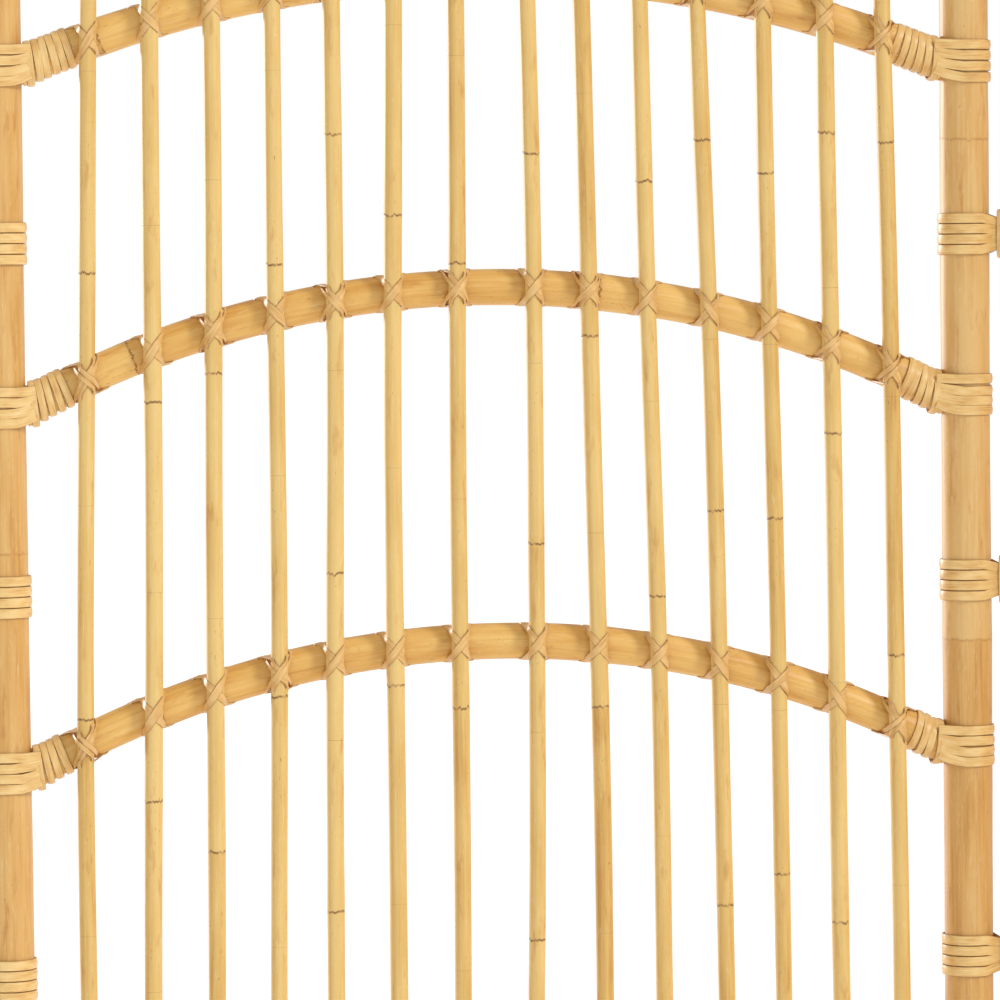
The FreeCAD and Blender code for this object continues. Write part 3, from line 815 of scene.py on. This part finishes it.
def make_rail_ends(panel):
    """The turns round a panel's rail ends, wound from the post to the outermost rod, and the strands
    round its posts, as two pieces."""
    rng = random.Random(f"{panel} rail ends")
    turns = []
    strands = []
    for number in range(1, RAIL_COUNT + 1):
        height = rail_height(panel, number)
        bow = RAIL_BOWS.get((panel, number), EVEN_BOW)
        for side, index in ((-1, 1), (1, len(rod_spans[panel]))):
            rod = sum(rod_spans[panel][index - 1]) / 2
            reach = abs(rod + rod_track(panel, index, height + arch(rod, bow))) + 8.0 * MM
            place = HALF_BAY - 3.6 * MM
            loose = 1.0 * MM
            while place > reach:
                x = side * place
                heel = slope(x, bow) * (1 - 0.9 * (place - reach) / (HALF_BAY - reach))
                turns.append(rail_turn(x, height + arch(x, bow), slope(x, bow), heel, loose, rng))
                place -= TURN_PITCH * rng.uniform(0.92, 1.04)
                loose = rng.uniform(0.25, 0.6) * MM
            for strand in range(STRAND_COUNT):
                level = (strand - (STRAND_COUNT - 1) / 2) * STRAND_PITCH + rng.uniform(-0.3, 0.3) * MM
                strands.append(post_strand(side, height + arch(side * HALF_BAY, bow), level, rng))
    wound = wind(f"{panel}_rail_end_turns", turns)
    finish(wound, PLACE[panel], binding_cane, f"{panel}_panel", [f"{panel}_panel_rail_end_wraps"],
           50)
    tied = wind(f"{panel}_post_strands", strands)
    finish(tied, PLACE[panel], binding_cane, f"{panel}_panel", [f"{panel}_panel_post_straps"],
           50)


for panel in PANELS:
    make_rail_ends(panel)

# ---------------------------------------------------------------------------------------------
# The hinges. In the middle of each bay four strands of cane go round both neighbouring posts, loose
# enough to turn, and upright turns between the posts draw them in to a neck.
NECK_TURN_WIDTH = 3.5 * MM
joint_places = {joint["name"]: Vector(joint["pos_m"]) for joint in frame["joints"]}


def hinge_strand(reach, level):
    """One closed strand in the link's frame, round the posts at the origin and at (reach, 0)."""
    inside = POST_RADIUS + 0.45 * MM
    neck_x = reach / 2 - 3.2 * MM
    neck_y = 0.3 * MM
    turn = math.atan2(neck_y, neck_x) + math.acos(inside / math.hypot(neck_x, neck_y))
    drawn = 0.70
    lobe = []
    for step in range(15):
        angle = turn + (math.tau - 2 * turn) * step / 14
        out = Vector((math.cos(angle), math.sin(angle), 0))
        lobe.append((out * inside + Vector((0, 0, level)), out))
    upper = Vector((math.sin(0.9), math.cos(0.9), 0))
    entry = []
    for part in (0.5, 1.0):
        point = lobe[0][0].lerp(Vector((neck_x, neck_y, 0)), part)
        point.z = level * (1 - (1 - drawn) * part)
        entry.append((point, upper.lerp(Vector((0, 1, 0)), part)))
    other = [(Vector((p.x, -p.y, p.z)), Vector((o.x, -o.y, 0))) for p, o in entry]
    whole = entry[::-1] + lobe + other
    far = [(Vector((reach - p.x, -p.y, p.z)), Vector((-o.x, -o.y, 0))) for p, o in whole]
    both = whole + far
    outs = [o.normalized() for p, o in both]
    return [p for p, o in both], outs, STRAND_WIDTH, WRAP_THICKNESS, True


def neck_turn(x, height):
    """One upright turn of cane round the strands, closed: a tall narrow loop in the YZ plane, with
    corners squarer than an ellipse's."""
    path = []
    outs = []
    squareness = 0.7
    half_tall = height / 2 - 1.2 * MM
    half_deep = 2.3 * MM
    for step in range(20):
        angle = math.tau * step / 20
        out_y = math.copysign(abs(math.cos(angle)) ** squareness, math.cos(angle))
        out_z = math.copysign(abs(math.sin(angle)) ** squareness, math.sin(angle))
        path.append(Vector((x, half_deep * out_y, half_tall * out_z)))
        outs.append(Vector((0, math.cos(angle) * half_tall, math.sin(angle) * half_deep)).normalized())
    return path, outs, NECK_TURN_WIDTH, WRAP_THICKNESS, True


for side in ("left", "right"):
    near = joint_places[f"{side}_binding_swing"]
    far = joint_places[f"{side}_panel_fold"]
    link = far - near
    reach = link.length
    place = Matrix.Translation(near) @ Matrix.Rotation(math.atan2(link.y, link.x), 4, "Z")
    necks = spans(f"{side}_hinge_neck_wraps", place, 2, 60 * MM)
    strands = []
    turns = []
    lift = Vector((0, 0, 1))
    for low, high in necks:
        middle = (low + high) / 2
        for strand in range(STRAND_COUNT):
            level = (strand - (STRAND_COUNT - 1) / 2) * STRAND_PITCH
            path, outs, width, thickness, closed = hinge_strand(reach, level)
            strands.append(([p + lift * middle for p in path], outs, width, thickness, closed))
        for offset in (-1.75, 1.75):
            path, outs, width, thickness, closed = neck_turn(reach / 2 + offset * MM, high - low)
            turns.append(([p + lift * middle for p in path], outs, width, thickness, closed))
    body = f"{side}_hinge"
    finish(wind(f"{side}_hinge_strands", strands), place, binding_cane, body, [f"{side}_hinge_loops"],
           50)
    finish(wind(f"{side}_hinge_neck_turns", turns), place, binding_cane, body, [f"{side}_hinge_neck_wraps"],
           50)

# ---------------------------------------------------------------------------------------------
# The glides under the posts: black polyethylene, moulded, with a rounded rim that the floor has
# scuffed a little. The screws in the rail ends are zinc-plated steel, hidden by the strands.
glide_plastic = new_material("moulded polyethylene")
here = add(glide_plastic, "TexCoord").outputs["Object"]
scuffs = add(glide_plastic, "TexNoise", {"Vector": here, "Scale": 1 / (1.2 * MM), "Detail": 3.0}).outputs[0]
stops = [(0.0, linear("#1d1a18")), (0.3, linear("#1d1a18")), (0.8, linear("#35302c"))]
black = add(glide_plastic, "ValToRGB", {0: scuffs}, stops=stops).outputs[0]
bump = add(glide_plastic, "Bump", {"Strength": 0.3, "Distance": 0.1 * MM, "Height": scuffs}).outputs[0]
plastic = add(glide_plastic, "BsdfPrincipled", {"Base Color": black, "Roughness": 0.55, "Normal": bump})
add(glide_plastic, "OutputMaterial", {0: plastic.outputs[0]})

screw_steel = new_material("zinc-plated steel")
here = add(screw_steel, "TexCoord").outputs["Object"]
haze = add(screw_steel, "TexNoise", {"Vector": here, "Scale": 1 / (0.8 * MM), "Detail": 2.0}).outputs[0]
stops = [(0.0, linear("#a9a79c")), (0.3, linear("#a9a79c")), (0.8, linear("#d2d0c4"))]
zinc = add(screw_steel, "ValToRGB", {0: haze}, stops=stops).outputs[0]
steel = add(screw_steel, "BsdfPrincipled", {"Base Color": zinc, "Metallic": 1.0, "Roughness": 0.34})
add(screw_steel, "OutputMaterial", {0: steel.outputs[0]})

for panel in PANELS:
    glide_node = f"{panel}_panel_glides"
    pair = []
    for low, high in spans(glide_node, PLACE[panel], 0, 50 * MM):
        alone()
        radius = (high - low) / 2
        bpy.ops.mesh.primitive_cylinder_add(vertices=32, radius=radius, depth=4 * MM,
                                            location=((low + high) / 2, 0, 2 * MM))
        glide = bpy.context.object
        bpy.ops.object.transform_apply(location=True)
        bpy.ops.object.mode_set(mode="EDIT")
        bpy.ops.mesh.select_mode(type="FACE")
        bpy.ops.mesh.select_all(action="DESELECT")
        net = bmesh.from_edit_mesh(glide.data)
        for face in net.faces:
            face.select = abs(face.normal.z) > 0.9
        bmesh.update_edit_mesh(glide.data)
        bpy.ops.mesh.inset(thickness=1.2 * MM)
        bpy.ops.object.mode_set(mode="OBJECT")
        rounding = glide.modifiers.new("rounded rim", "BEVEL")
        rounding.width = 0.8 * MM
        rounding.segments = 3
        bpy.ops.object.modifier_apply(modifier=rounding.name)
        pair.append(glide)
    finish(joined(pair, f"{panel}_glide_caps"), PLACE[panel], glide_plastic, f"{panel}_panel", [glide_node])
    screws = frame["nodes"][f"{panel}_panel_rail_screws"]
    screws.data.materials.clear()
    screws.data.materials.append(screw_steel)

# ---------------------------------------------------------------------------------------------
# The studio: a plain pale floor under an even white surround, a large soft light from the front
# right and above, a weak one from the left.
bpy.ops.mesh.primitive_plane_add(size=120, location=(0, 0, -0.2 * MM))
floor = bpy.context.object
floor.name = "studio_floor"
floor_paint = new_material("matt white paint")
matt = {"Base Color": (0.93, 0.93, 0.93, 1), "Roughness": 0.9, "Emission Color": (1, 1, 1, 1)}
paint = add(floor_paint, "BsdfPrincipled", {**matt, "Emission Strength": 0.3})
add(floor_paint, "OutputMaterial", {0: paint.outputs[0]})
floor.data.materials.append(floor_paint)
floor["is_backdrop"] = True

surround = bpy.data.worlds.new("surround")
bpy.context.scene.world = surround
surround.use_nodes = True
surround.node_tree.nodes.clear()
seen = add(surround, "LightPath").outputs["Is Camera Ray"]
level = add(surround, "MapRange", {"Value": seen, "To Min": 0.55, "To Max": 1.0}).outputs["Result"]
background = add(surround, "Background", {"Color": grey(1), "Strength": level})
add(surround, "OutputWorld", {"Surface": background.outputs[0]})
bpy.context.scene.view_settings.view_transform = "Standard"


def sun(name, energy, spread, direction):
    """A far soft lamp that shines along the direction."""
    lamp = bpy.data.lights.new(name, "SUN")
    lamp.energy = energy
    lamp.angle = math.radians(spread)
    light = bpy.data.objects.new(name, lamp)
    bpy.context.scene.collection.objects.link(light)
    light.rotation_euler = Vector(direction).to_track_quat("-Z", "Y").to_euler()


sun("key_light", 1.32, 14, (-0.62, 0.62, -0.62))
sun("left_rim_light", 1.6, 12, (0.62, -0.78, -0.12))

# The camera looks at the middle of the middle panel from its left and a little above, far enough away
# that the posts stay nearly parallel.
camera_data = bpy.data.cameras.new("view_camera")
camera = bpy.data.objects.new("view_camera", camera_data)
bpy.context.scene.collection.objects.link(camera)
camera_data.sensor_width = 36
camera_data.lens = 188
camera.location = (-0.3033, -2.590, 0.8655)
aim = Vector((0.0052, 0, 0.7405)) - camera.location
camera.rotation_euler = aim.to_track_quat("-Z", "Y").to_euler()
camera.rotation_euler.rotate_axis("Z", math.radians(-0.6))
bpy.context.scene.camera = camera

low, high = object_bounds()
